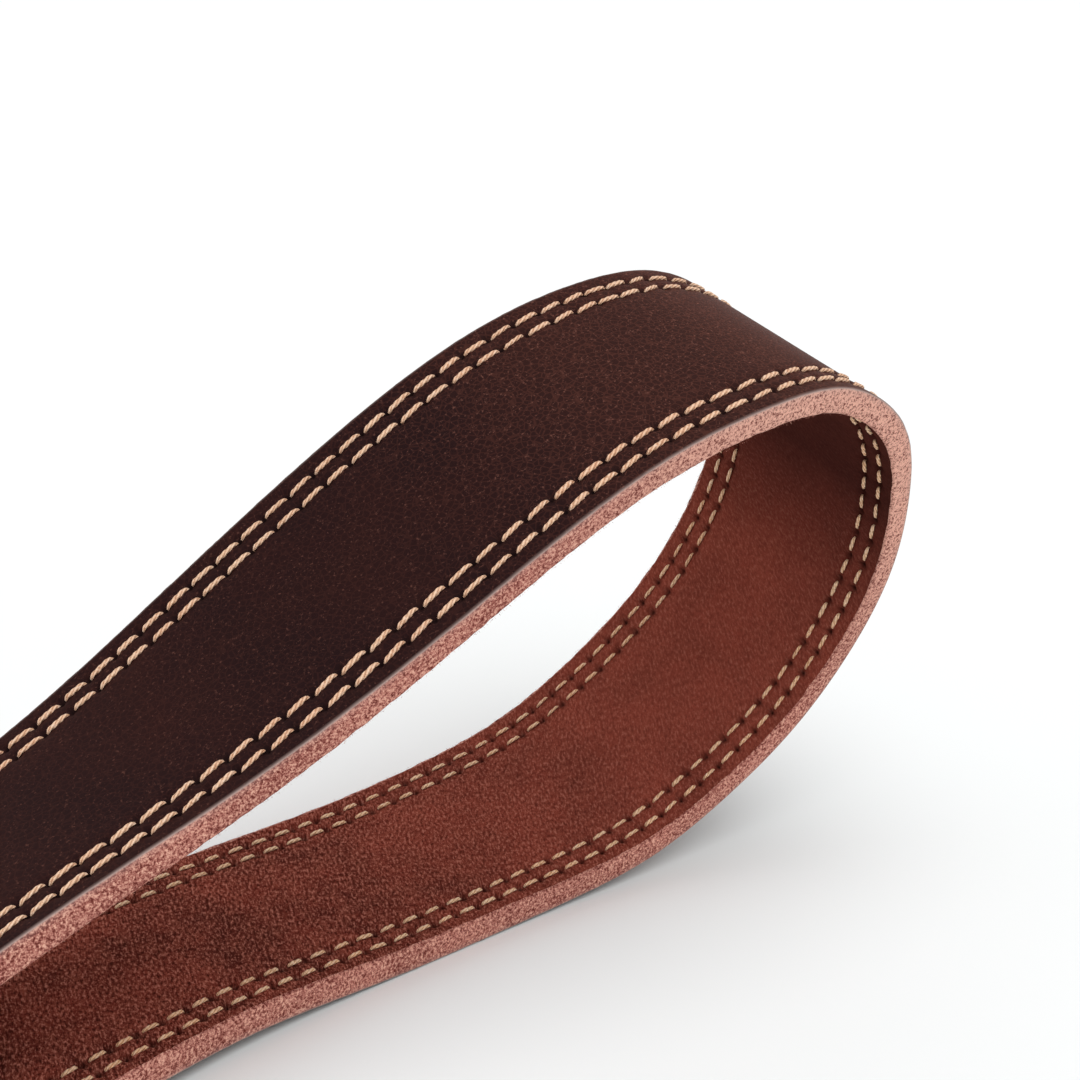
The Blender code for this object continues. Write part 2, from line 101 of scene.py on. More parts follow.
LEG = [
    (165.5, 1, 8.6, 9, 6),
    (157, 2.5, 3.6, 6, 5),
    (147, 3.5, 1.25, 3, 3),
    (137, 4, 0.35, 1, 1),
    (123, 4.2, 0.15, 0, 0),
    (107, 3.8, 0.65, -2, -4),
    (85, 1.5, 0.65, -2, -5),
    (60, 0.2, 0.15, 0, -2),
    (35, 0, 0, 0, 0),
    (5, 0, 0, 0, 0),
    (-30, 0, 0, 0, 0),
]
LEAD_FROM = -30.3  # mm; the part's lead starts here, a gap from the hand loop's lap
# The free lead on the floor: x, y and tilt, before the roll and after it.
LEAD_TO_ROLL = [
    (-30.1, 0, 0),
    (-42, 0, -4),
    (-56, 0, -20),
    (-70, 0, -42),
    (-84, 0, -64),
    (-98, 0, -82),
    (-112, 0, -90),
]
ROLL_TO_SNAP = [
    (-158, 0, -90),
    (-172, 0, -98),
    (-186, 0, -116),
    (-200, 0, -138),
    (-214, 0, -160),
    (-226, 0, -176),
    (-238, 0, -180),
]

# How closely the strap's route is followed
LOOP_SPACING = 0.2 * MM
LEAD_SPACING = 0.4 * MM
ROLL_TURN = 12  # degrees from one station of the roll to the next
MIDDLE_TURN = 15  # and of the S in its middle
LOOP_STEPS = 8  # rows of the mesh to each stitch
LEAD_STEPS = 4

# Where the view is taken from
VIEW_PLACE = (12.7 * MM, -124.0 * MM, 104.3 * MM)
VIEW_AZIMUTH = 46.9
VIEW_DOWN = 20.8
VIEW_ROLL = 5.75
VIEW_LENS = 68.7  # mm, on a 36 mm wide frame


# ---------------------------------------------------------------- camera


def make_camera():
    lens = bpy.data.cameras.new("camera")
    lens.sensor_width = 36.0
    lens.lens = VIEW_LENS
    lens.clip_start = 10 * MM
    camera = bpy.data.objects.new("camera", lens)
    bpy.context.scene.collection.objects.link(camera)
    camera.matrix_world = (
        Matrix.Translation(VIEW_PLACE)
        @ Matrix.Rotation(math.radians(-VIEW_AZIMUTH), 4, "Z")
        @ Matrix.Rotation(math.radians(90 - VIEW_DOWN), 4, "X")
        @ Matrix.Rotation(math.radians(VIEW_ROLL), 4, "Z")
    )
    bpy.context.scene.camera = camera


# ---------------------------------------------------------------- the strap's route


def natural_spline(rows, spacing):
    """Rows read off a natural cubic spline through the given rows, about one spacing apart."""
    rows = np.array(rows, dtype=float)
    knots = np.concatenate([[0.0], np.cumsum(np.linalg.norm(np.diff(rows[:, :3], axis=0), axis=1))])
    gaps = np.diff(knots)
    count = len(knots)
    system = np.eye(count)
    target = np.zeros((count, rows.shape[1]))
    for i in range(1, count - 1):
        system[i, i - 1 : i + 2] = gaps[i - 1], 2 * (gaps[i - 1] + gaps[i]), gaps[i]
        target[i] = 6 * ((rows[i + 1] - rows[i]) / gaps[i] - (rows[i] - rows[i - 1]) / gaps[i - 1])
    bend = np.linalg.solve(system, target)
    at = np.linspace(0.0, knots[-1], max(2, math.ceil(knots[-1] / spacing) + 1))
    span = np.clip(np.searchsorted(knots, at, side="right") - 1, 0, count - 2)
    width = gaps[span][:, None]
    before = (knots[span + 1] - at)[:, None] / width
    after = 1.0 - before
    curve = (before**3 - before) * bend[span] + (after**3 - after) * bend[span + 1]
    return before * rows[span] + after * rows[span + 1] + curve * width**2 / 6


def hand_loop_rows():
    arm = [(x * MM, y * MM, LAP_HEIGHT + rise * MM, tilt, skew) for x, y, rise, tilt, skew in ARM]
    leg = [(x * MM, y * MM, FLAT_HEIGHT + rise * MM, tilt, skew) for x, y, rise, tilt, skew in LEG]
    return natural_spline(arm + leg, LOOP_SPACING)


def coil_radius():
    """Outer radius of the roll that takes the lead's length less its two free stretches."""
    free = (LEAD_FROM - ROLL_TO_SNAP[-1][0]) * MM
    core = math.pi * COIL_CORE
    return math.sqrt(COIL_CORE**2 + (LEAD_LENGTH - free - core) * COIL_PITCH / (2 * math.pi))


COIL_RADIUS = coil_radius()
SNAP_Y = 2 * COIL_RADIUS


def roll_stations():
    """The roll seen from above: in along a spiral, back on itself in an S, and out between its turns."""
    centre = Vector((COIL_X, COIL_RADIUS))

    def around(middle, radius, degrees):
        turn = math.radians(degrees)
        return middle + Vector((math.cos(turn), math.sin(turn))) * radius

    wound = math.degrees(2 * math.pi * (COIL_RADIUS - COIL_CORE) / COIL_PITCH)
    count = round(wound / ROLL_TURN)
    inward = []
    for i in range(count + 1):
        turned = wound * i / count
        inward.append(around(centre, COIL_RADIUS - COIL_PITCH * turned / 360, -90 - turned))
    last = -90 - wound
    first_half = centre + (inward[-1] - centre) / 2
    turns = range(MIDDLE_TURN, 181, MIDDLE_TURN)
    into_middle = [around(first_half, COIL_CORE / 2, last - step) for step in turns]
    to_middle = inward[1:] + into_middle
    out_of_middle = [2 * centre - point for point in reversed(to_middle[:-1])]
    last_point = 2 * centre - inward[0]
    return inward[:1] + to_middle + out_of_middle + [last_point]


def lead_rows():
    """The free lead: flat to its edge, round the roll, and flat again to the snap's lap."""
    stations = [(x * MM, y * MM, 0.0, tilt, 0.0) for x, y, tilt in LEAD_TO_ROLL]
    stations += [(x, y, 0.0, -90.0, 0.0) for x, y in roll_stations()]
    stations += [(x * MM, SNAP_Y + y * MM, 0.0, tilt, 0.0) for x, y, tilt in ROLL_TO_SNAP]
    rows = natural_spline(stations, LEAD_SPACING)
    tilt = np.radians(rows[:, 3])
    rows[:, 2] = np.abs(np.sin(tilt)) * HALF_WIDTH + np.abs(np.cos(tilt)) * HALF_THICK
    return rows


def fold_rows():
    """The strap's far end: over its own lap, round the snap's bar and back beneath."""
    top = SNAP_Z + FOLD_RADIUS
    bottom = SNAP_Z - FOLD_RADIUS
    lap_from = SNAP_X + SNAP_LAP
    step_up = LAP_HEIGHT - FLAT_HEIGHT
    rows = [
        (ROLL_TO_SNAP[-1][0] * MM - GAP, FLAT_HEIGHT),
        (lap_from + 12 * MM, FLAT_HEIGHT + 0.12 * step_up),
        (lap_from + 7 * MM, FLAT_HEIGHT + 0.6 * step_up),
        (lap_from + 1 * MM, LAP_HEIGHT + 0.1 * MM),
        (lap_from - 10 * MM, LAP_HEIGHT),
        (lap_from - 23 * MM, LAP_HEIGHT),
        (SNAP_X + 13 * MM, (2 * LAP_HEIGHT + top) / 3),
        (SNAP_X + 5 * MM, top - 0.6 * MM),
    ]
    for step in range(7):
        turn = math.radians(90 + 30 * step)
        rows.append((SNAP_X + FOLD_RADIUS * math.cos(turn), SNAP_Z + FOLD_RADIUS * math.sin(turn)))
    rows += [
        (SNAP_X + 5 * MM, (bottom + FLAT_HEIGHT) / 2),
        (SNAP_X + 12 * MM, FLAT_HEIGHT + 0.15 * MM),
        (SNAP_X + 24 * MM, FLAT_HEIGHT + 0.05 * MM),
        (lap_from, FLAT_HEIGHT),
    ]
    return natural_spline([(x, SNAP_Y, z, -180.0, 0.0) for x, z in rows], LOOP_SPACING)


class StrapRun:
    """A length of strap at even steps, a whole number of them to each stitch. Its stretch is how sharply
    it bends with the grain outside, in 1/m."""

    def __init__(self, rows, steps_to_stitch):
        gone = np.linalg.norm(np.diff(rows[:, :3], axis=0), axis=1)
        run = np.concatenate([[0.0], np.cumsum(gone)])
        self.length = float(run[-1])
        self.stitches = round(self.length / STITCH_PITCH)
        self.pitch = self.length / self.stitches
        self.steps_to_stitch = steps_to_stitch
        self.along = np.linspace(0.0, self.length, self.stitches * steps_to_stitch + 1)
        even = np.stack([np.interp(self.along, run, column) for column in rows.T], axis=1)
        self.centre = even[:, :3]
        self.ahead = np.gradient(self.centre, axis=0)
        self.ahead /= np.linalg.norm(self.ahead, axis=1, keepdims=True)
        tilt, skew = np.radians(even[:, 3]), np.radians(even[:, 4])
        level = np.cos(tilt)
        self.across = np.stack([np.sin(skew) * level, np.cos(skew) * level, np.sin(tilt)], axis=1)
        self.across -= self.ahead * np.sum(self.across * self.ahead, axis=1, keepdims=True)
        self.across /= np.linalg.norm(self.across, axis=1, keepdims=True)
        self.outward = np.cross(self.ahead, self.across)
        turning = np.gradient(self.ahead, self.along[1], axis=0)
        stretch = -np.sum(turning * self.outward, axis=1)
        window = 2 * steps_to_stitch + 1
        self.stretch = np.convolve(stretch, np.ones(window) / window, mode="same")

    def place(self, step, across, height, side):
        """A matrix at a step: +X along the strap, +Z out of the grain side (1) or the flesh side (-1)."""
        at = self.centre[step] + self.across[step] * across + self.outward[step] * height * side
        columns = self.ahead[step], self.across[step] * side, self.outward[step] * side, at
        matrix = Matrix.Identity(4)
        for i, column in enumerate(columns):
            for j in range(3):
                matrix[j][i] = column[j]
        return matrix


# ---------------------------------------------------------------- mesh helpers


def cloud(x, y, cell, seed):
    """Smooth seeded unevenness from -1 to 1 over a surface, with humps about one cell across."""
    x = (x - x.min()) / cell
    y = (y - y.min()) / cell
    grid = np.random.default_rng(seed).uniform(-1, 1, (int(x.max()) + 3, int(y.max()) + 3))
    i, j = x.astype(int), y.astype(int)
    s, t = x - i, y - j
    s, t = s * s * (3 - 2 * s), t * t * (3 - 2 * t)
    low = grid[i, j] * (1 - s) + grid[i + 1, j] * s
    high = grid[i, j + 1] * (1 - s) + grid[i + 1, j + 1] * s
    return low * (1 - t) + high * t


def finish_mesh(name, mesh, materials, smooth=True):
    obj = bpy.data.objects.new(name, mesh)
    bpy.context.scene.collection.objects.link(obj)
    for material in materials:
        mesh.materials.append(material)
    mesh.polygons.foreach_set("use_smooth", [smooth] * len(mesh.polygons))
    return obj


def rolled_grid(name, places, map_places, finishes=None, values=None):
    """A closed tube: a grid whose rows are the sections in places, rolled up and stopped at both ends."""
    sections, points = places.shape[:2]
    work = bmesh.new()
    work.loops.layers.uv.new("run")
    bmesh.ops.create_grid(work, x_segments=sections - 1, y_segments=points, size=0.5)
    mesh = bpy.data.meshes.new(name)
    work.to_mesh(mesh)
    work.free()
    flat = np.empty(len(mesh.vertices) * 3, np.float32)
    mesh.vertices.foreach_get("co", flat)
    flat = flat.reshape(-1, 3)
    i = np.rint((flat[:, 0] + 0.5) * (sections - 1)).astype(int)
    j = np.rint((flat[:, 1] + 0.5) * points).astype(int)
    mesh.vertices.foreach_set("co", places[i, j % points].astype(np.float32).ravel())
    corner = np.empty(len(mesh.loops), np.int32)
    mesh.loops.foreach_get("vertex_index", corner)
    mesh.uv_layers["run"].data.foreach_set("uv", map_places[i, j][corner].astype(np.float32).ravel())
    for key, field in (values or {}).items():
        layer = mesh.attributes.new(key, "FLOAT", "POINT")
        layer.data.foreach_set("value", field[i, j % points].astype(np.float32))
    first_corner = np.empty(len(mesh.polygons), np.int32)
    mesh.polygons.foreach_get("loop_start", first_corner)
    strip = np.minimum.reduce([j[corner[first_corner + k]] for k in range(4)])
    if finishes is not None:
        mesh.polygons.foreach_set("material_index", np.asarray(finishes)[strip].astype(np.int32))
    work = bmesh.new()
    work.from_mesh(mesh)
    bmesh.ops.remove_doubles(work, verts=work.verts, dist=1e-7)
    rims = [edge for edge in work.edges if edge.is_boundary]
    if rims:
        stops = bmesh.ops.holes_fill(work, edges=rims, sides=0)["faces"]
        for face in stops:
            face.material_index = max(finishes) if finishes is not None else 0
    bmesh.ops.recalc_face_normals(work, faces=work.faces)
    work.to_mesh(mesh)
    work.free()
    return mesh


def copies(name, shape, matrices, material):
    """One piece made of copies of a small mesh, each put in its own place."""
    work = bmesh.new()
    for matrix in matrices:
        one = shape.copy()
        one.transform(matrix)
        work.from_mesh(one)
        bpy.data.meshes.remove(one)
    mesh = bpy.data.meshes.new(name)
    work.to_mesh(mesh)
    work.free()
    return finish_mesh(name, mesh, [material])


# ---------------------------------------------------------------- materials

NAP_SLANT = 58.0  # degrees between the brushed nap and the strap's length


def colour(code):
    """Linear RGBA from an sRGB hex code."""
    parts = [int(code[i : i + 2], 16) / 255 for i in (1, 3, 5)]
    return (*[p / 12.92 if p <= 0.04045 else ((p + 0.055) / 1.055) ** 2.4 for p in parts], 1.0)


def add_node(tree, kind, settings=None, **sockets):
    """A node with its settings and sockets; a socket is named, or numbered as in s0, and takes a
    value or another node's output."""
    node = tree.nodes.new(kind)
    for key, value in (settings or {}).items():
        setattr(node, key, value)
    for key, value in sockets.items():
        number = key[1:]
        socket = node.inputs[int(number) if key[0] == "s" and number.isdigit() else key.replace("_", " ")]
        if isinstance(value, bpy.types.NodeSocket):
            tree.links.new(value, socket)
        else:
            socket.default_value = value
    return node


def new_material(name):
    material = bpy.data.materials.new(name)
    material.use_nodes = True
    return material, material.node_tree, material.node_tree.nodes["Principled BSDF"]


def mixed(tree, factor, first, second):
    """The output of a colour mix."""
    settings = {"data_type": "RGBA", "blend_type": "MIX"}
    node = add_node(tree, "ShaderNodeMix", settings, s0=factor, s6=first, s7=second)
    return node.outputs[2]


def ramped(tree, value, low, high, to_low=0.0, to_high=1.0):
    """A value from low to high spread over another range."""
    sockets = {"s0": value, "s1": low, "s2": high, "s3": to_low, "s4": to_high}
    return add_node(tree, "ShaderNodeMapRange", None, **sockets).outputs[0]


def times(tree, first, second):
    return add_node(tree, "ShaderNodeMath", {"operation": "MULTIPLY"}, s0=first, s1=second).outputs[0]


def attribute(tree, name):
    return add_node(tree, "ShaderNodeAttribute", {"attribute_name": name}).outputs["Fac"]


def noise(tree, where, size, detail=2.0, roughness=0.5):
    """Noise whose features are about this many metres across."""
    node = add_node(
        tree, "ShaderNodeTexNoise", None, Vector=where, Scale=0.5 / size, Detail=detail, Roughness=roughness
    )
    return node.outputs["Fac"]


def grain_leather():
    """Drum-dyed full-grain cowhide with a waxed finish: near-black brown, finely pebbled, almost matt."""
    material, tree, shader = new_material("waxed grain leather")
    where = add_node(tree, "ShaderNodeTexCoord").outputs["Object"]
    hole = attribute(tree, "hole")
    rim = attribute(tree, "rim")
    bend = attribute(tree, "bend")
    blotch = noise(tree, where, 7 * MM, 3.0)
    pebble = add_node(
        tree, "ShaderNodeTexVoronoi", {"feature": "DISTANCE_TO_EDGE"}, Vector=where, Scale=1 / (0.6 * MM)
    ).outputs["Distance"]
    speck = noise(tree, where, 0.16 * MM, 2.0, 0.8)
    # Where the strap is bent tightly the grain turns paler, partly as waxed leather pulls up and partly as
    # painted light on the loop's crest; the pebble lines and specks brightened there are painted highlights.
    pale = ramped(tree, bend, 0.25, 1.0)
    base = mixed(tree, ramped(tree, blotch, 0.35, 0.65), colour("#241415"), colour("#2c1716"))
    base = mixed(tree, pale, base, colour("#3d221d"))
    line = times(tree, ramped(tree, pebble, 0.0, 0.12, 1.0, 0.0), ramped(tree, bend, 0.0, 1.0, 0.12, 0.55))
    base = mixed(tree, line, base, colour("#643a30"))
    glint = times(tree, ramped(tree, speck, 0.6, 0.72), ramped(tree, bend, 0.0, 1.0, 0.3, 0.8))
    base = mixed(tree, glint, base, colour("#87594d"))
    # Painted shade in the needle holes.
    base = mixed(tree, hole, base, colour("#100708"))
    base = mixed(tree, rim, base, colour("#9c8680"))
    tree.links.new(base, shader.inputs["Base Color"])
    gloss = ramped(tree, speck, 0.3, 0.7, 0.42, 0.56)
    tree.links.new(gloss, shader.inputs["Roughness"])
    shader.inputs["Specular IOR Level"].default_value = 0.02
    shader.inputs["Sheen Weight"].default_value = 0.12
    shader.inputs["Sheen Roughness"].default_value = 0.4
    shader.inputs["Sheen Tint"].default_value = colour("#c87860")
    bump = add_node(tree, "ShaderNodeBump", None, Height=pebble, Strength=0.25, Distance=0.05 * MM)
    fine = add_node(
        tree, "ShaderNodeBump", None, Height=speck, Strength=0.35, Distance=0.05 * MM, Normal=bump.outputs[0]
    )
    tree.links.new(fine.outputs[0], shader.inputs["Normal"])
    return material


def flesh_leather():
    """The hide's flesh side, split and brushed: a short slanting red-brown nap, mottled and quite matt."""
    material, tree, shader = new_material("napped flesh side")
    where = add_node(tree, "ShaderNodeTexCoord").outputs["Object"]
    run = add_node(tree, "ShaderNodeUVMap", {"uv_map": "run"}).outputs["UV"]
    brushed = add_node(
        tree, "ShaderNodeMapping", {"vector_type": "TEXTURE"},
        Vector=run, Rotation=(0, 0, math.radians(NAP_SLANT)), Scale=(2.2, 1, 1),
    ).outputs[0]
    hole = attribute(tree, "hole")
    rim = attribute(tree, "rim")
    blotch = noise(tree, where, 4 * MM, 5.0, 0.65)
    tuft = noise(tree, brushed, 0.7 * MM, 3.0, 0.6)
    nap = noise(tree, brushed, 0.13 * MM, 3.0, 0.8)
    calm = ramped(tree, attribute(tree, "pressed"), 0.0, 0.8, 1.0, 0.35)
    base = mixed(tree, ramped(tree, blotch, 0.36, 0.62), colour("#4f201b"), colour("#80392e"))
    base = mixed(tree, ramped(tree, calm, 1.0, 0.35, 0.0, 0.6), base, colour("#964a3b"))
    base = mixed(tree, times(tree, ramped(tree, tuft, 0.4, 0.68, 0.0, 0.45), calm), base, colour("#9a5444"))
    base = mixed(tree, times(tree, ramped(tree, nap, 0.52, 0.63, 0.0, 0.85), calm), base, colour("#c88270"))
    base = mixed(tree, times(tree, ramped(tree, nap, 0.49, 0.38, 0.0, 0.92), calm), base, colour("#33130f"))
    # Painted shade: the flesh side darkens under the loop's crest, where the arm above shades it.
    base = mixed(tree, ramped(tree, attribute(tree, "crest_light_and_shade"), 0.35, 0.68, 0.0, 0.88), base, colour("#2c1615"))
    # Painted shade in the needle holes.
    base = mixed(tree, hole, base, colour("#1c0806"))
    base = mixed(tree, rim, base, colour("#4a1c16"))
    tree.links.new(base, shader.inputs["Base Color"])
    shader.inputs["Roughness"].default_value = 0.95
    shader.inputs["Specular IOR Level"].default_value = 0.0
    shader.inputs["Sheen Weight"].default_value = 0.08
    shader.inputs["Sheen Roughness"].default_value = 0.5
    shader.inputs["Sheen Tint"].default_value = colour("#d08068")
    bump = add_node(tree, "ShaderNodeBump", None, Height=tuft, Strength=0.5, Distance=0.25 * MM)
    fine = add_node(
        tree, "ShaderNodeBump", None, Height=nap, Strength=0.8, Distance=0.12 * MM, Normal=bump.outputs[0]
    )
    tree.links.new(fine.outputs[0], shader.inputs["Normal"])
    return material


def raw_edge():
    """Knife-cut, undyed core of the hide: pink-tan fibre ends, open and matt, darker in the pores."""
    material, tree, shader = new_material("raw cut edge")
    where = add_node(tree, "ShaderNodeTexCoord").outputs["Object"]
    rim = attribute(tree, "rim")
    blotch = noise(tree, where, 3.5 * MM, 2.0)
    fibre = noise(tree, where, 0.14 * MM, 3.0, 0.85)
    painted_crest_light = attribute(tree, "crest_light_and_shade")
    base = mixed(tree, ramped(tree, blotch, 0.35, 0.65), colour("#ab6a5f"), colour("#c37f72"))
    # Painted light: the raw edge turns paler along the loop's crest, where light from above falls on its
    # rounded face.
    base = mixed(tree, ramped(tree, painted_crest_light, 0.2, 0.7, 0.0, 0.8), base, colour("#eeb8a6"))
    base = mixed(tree, ramped(tree, fibre, 0.51, 0.62, 0.0, 0.9), base, colour("#efb8a2"))
    base = mixed(tree, ramped(tree, fibre, 0.5, 0.4, 0.0, 0.95), base, colour("#642a24"))
    base = mixed(tree, rim, base, colour("#b29a92"))
    tree.links.new(base, shader.inputs["Base Color"])
    shader.inputs["Roughness"].default_value = 0.92
    shader.inputs["Specular IOR Level"].default_value = 0.05
    bump = add_node(tree, "ShaderNodeBump", None, Height=fibre, Strength=0.8, Distance=0.12 * MM)
    tree.links.new(bump.outputs[0], shader.inputs["Normal"])
    return material


def sewing_thread(name, low, high):
    """Waxed three-ply thread, undyed tan: slanted plies with painted shade in their grooves, painted
    highlights on their crowns, and a dull gleam.
    """
    material, tree, shader = new_material(name)
    run = add_node(tree, "ShaderNodeUVMap", {"uv_map": "run"}).outputs["UV"]
    where = add_node(tree, "ShaderNodeTexCoord").outputs["Object"]
    split = add_node(tree, "ShaderNodeSeparateXYZ", None, Vector=run)
    lay = add_node(
        tree, "ShaderNodeMath", {"operation": "MULTIPLY_ADD"},
        s0=split.outputs["X"], s1=2 * math.pi / PLY_SPACING, s2=0.0,
    )
    turn = add_node(
        tree, "ShaderNodeMath", {"operation": "MULTIPLY_ADD"},
        s0=split.outputs["Y"], s1=2 * math.pi * THREAD_PLIES, s2=lay.outputs[0],
    )
    ply = add_node(tree, "ShaderNodeMath", {"operation": "SINE"}, s0=turn.outputs[0]).outputs[0]
    blotch = noise(tree, where, 5 * MM, 2.0)
    hair = noise(tree, where, 0.12 * MM, 2.0, 0.7)
    base = mixed(tree, ramped(tree, blotch, 0.35, 0.65), colour(low), colour(high))
    # Painted shade in the grooves between the plies, and painted highlights on their crowns.
    base = mixed(tree, ramped(tree, ply, -0.4, -0.95, 0.0, 0.6), base, colour("#7d4a30"))
    base = mixed(tree, ramped(tree, ply, 0.4, 1.0, 0.0, 0.5), base, colour("#fbdcc0"))
    base = mixed(tree, ramped(tree, hair, 0.5, 0.7, 0.0, 0.5), base, colour("#ffe9d6"))
    base = mixed(tree, ramped(tree, hair, 0.45, 0.3, 0.0, 0.5), base, colour("#9a6242"))
    tree.links.new(base, shader.inputs["Base Color"])
    shader.inputs["Roughness"].default_value = 0.6
    shader.inputs["Specular IOR Level"].default_value = 0.2
    bump = add_node(tree, "ShaderNodeBump", None, Height=ply, Strength=0.7, Distance=0.06 * MM)
    fine = add_node(
        tree, "ShaderNodeBump", None, Height=hair, Strength=0.4, Distance=0.03 * MM, Normal=bump.outputs[0]
    )
    tree.links.new(fine.outputs[0], shader.inputs["Normal"])
    return material


def plated_metal(name, base_code, worn_code, gloss, rough_gloss, ripple):
    """Nickel plate over a casting or a bar: bright, faintly uneven, duller where hands rub it."""
    material, tree, shader = new_material(name)
    where = add_node(tree, "ShaderNodeTexCoord").outputs["Object"]
    cast = noise(tree, where, 3 * MM, 3.0, 0.6)
    scuff = noise(tree, where, 0.35 * MM, 3.0, 0.7)
    base = mixed(tree, ramped(tree, cast, 0.4, 0.7), colour(base_code), colour(worn_code))
    tree.links.new(base, shader.inputs["Base Color"])
    shader.inputs["Metallic"].default_value = 1.0
    tree.links.new(ramped(tree, scuff, 0.35, 0.7, gloss, rough_gloss), shader.inputs["Roughness"])
    bump = add_node(tree, "ShaderNodeBump", None, Height=cast, Strength=0.15, Distance=ripple)
    fine = add_node(
        tree, "ShaderNodeBump", None, Height=scuff, Strength=0.05, Distance=0.02 * MM, Normal=bump.outputs[0]
    )
    tree.links.new(fine.outputs[0], shader.inputs["Normal"])
    return material


# ---------------------------------------------------------------- leather

GRAIN, FLESH, RAW = range(3)
FULL_PALE = 26.0 * MM  # waxed leather pulls up to its palest where it is bent this tightly, and the painted light on the loop's crest is at its fullest there too
NAP_PRESSED = 45.0 * MM  # a bend is averaged over this length, where the nap is pressed smoother
GROOVE_REACH = 0.45 * MM
CORNER_SETBACK = 0.3 * MM
HOLE_REACH = 0.36 * MM
GROOVES = {1: 0.1 * MM, -1: 0.18 * MM}  # how deep a row lies, on the grain side and the flesh side
PITS = {1: 0.36 * MM, -1: 0.34 * MM}  # and how much deeper its needle holes are
ON_FACE = 1e-9  # a point this near a face's height lies on it
WAVE_SIZE = 7 * MM  # slow unevenness of the hide
LUMP_SIZE = 1.1 * MM
GRIT_SIZE = 0.45 * MM
GRAIN_WAVE = 0.03 * MM  # half the depth of each kind
FLESH_WAVE = 0.05 * MM
FLESH_LUMP = 0.05 * MM
FLESH_GRIT = 0.03 * MM
EDGE_ROUGH = 0.05 * MM


def face_places(fine):
    """Places across one face of the strap, closer together at the rows of sewing."""
    inner, outer = (HALF_WIDTH - ROW_INSETS[row] for row in ("inner", "outer"))
    between = (inner + outer) / 2
    near_corner = HALF_WIDTH - CORNER_SETBACK
    if fine:
        reach = GROOVE_REACH
        side = [inner - 2 * reach, inner - reach, inner, inner + reach, between]
        side += [outer - reach, outer, outer + reach, outer + 2 * reach, near_corner]
        middle = np.linspace(-7.0 * MM, 7.0 * MM, 9)
    else:
        reach = 0.8 * MM
        side = [inner - reach, inner, between, outer, outer + reach, near_corner]
        middle = np.linspace(-4.0 * MM, 4.0 * MM, 3)
    return np.array([-place for place in reversed(side)] + list(middle) + side)


def edge_places(fine):
    """The rounded edge from the grain corner to the flesh corner, as (across, height)."""
    if fine:
        shape = [
            (-0.09, 1.33), (-0.01, 1.25), (0.02, 1.1), (0.04, 0.55),
            (0.05, 0.0), (0.03, -0.55), (-0.03, -1.05), (-0.22, -1.3),
        ]
    else:
        shape = [(-0.12, 1.25), (0.04, 0.6), (0.04, -0.6), (-0.12, -1.25)]
    return [(HALF_WIDTH + x * MM, y * MM) for x, y in shape]


def strap_section(fine):
    """The strap's section as (across, height, finish, rim) points round it, from the near grain corner."""
    face = face_places(fine)
    edge = edge_places(fine)
    dyed = 1  # the dye runs this far over the corner
    rims = [0.35, 1.0, 0.2] if fine else [0.5]
    section = [(x, HALF_THICK, GRAIN, 0.0) for x in face]
    edge_finish = [GRAIN] * dyed + [RAW] * (len(edge) - dyed)
    edge_rim = rims + [0.0] * (len(edge) - len(rims))
    far = [(x, y, kind, rim) for (x, y), kind, rim in zip(edge, edge_finish, edge_rim)]
    near = [(-x, y, kind, rim) for (x, y), kind, rim in zip(edge, edge_finish, edge_rim)]
    back = [(x, -HALF_THICK, FLESH, 0.0) for x in reversed(face)]
    section += far + back
    # Going up the near edge, a strip takes the finish of the point that it ends on.
    near = near[::-1]
    kinds = [kind for _, _, kind, _ in near[1:]] + [GRAIN]
    section += [(x, y, kind, rim) for (x, y, _, rim), kind in zip(near, kinds)]
    return np.array(section)


def sewn_in(run, across, side):
    """How deep the sewing pulls a face in, and how close each point is to a needle hole."""
    depth = np.zeros((len(run.along), len(across)))
    hole = np.zeros_like(depth)
    for row, inset in ROW_INSETS.items():
        from_hole = (run.along / run.pitch - ROW_PHASES[row] + 0.5) % 1.0 - 0.5
        at_hole = np.exp(-((from_hole * run.pitch / HOLE_REACH) ** 2))[:, None]
        for end in (-1, 1):
            in_row = np.exp(-(((across - end * (HALF_WIDTH - inset)) / GROOVE_REACH) ** 2))[None, :]
            depth += in_row * (GROOVES[side] + PITS[side] * at_hole)
            hole = np.maximum(hole, in_row * at_hole)
    return depth, hole


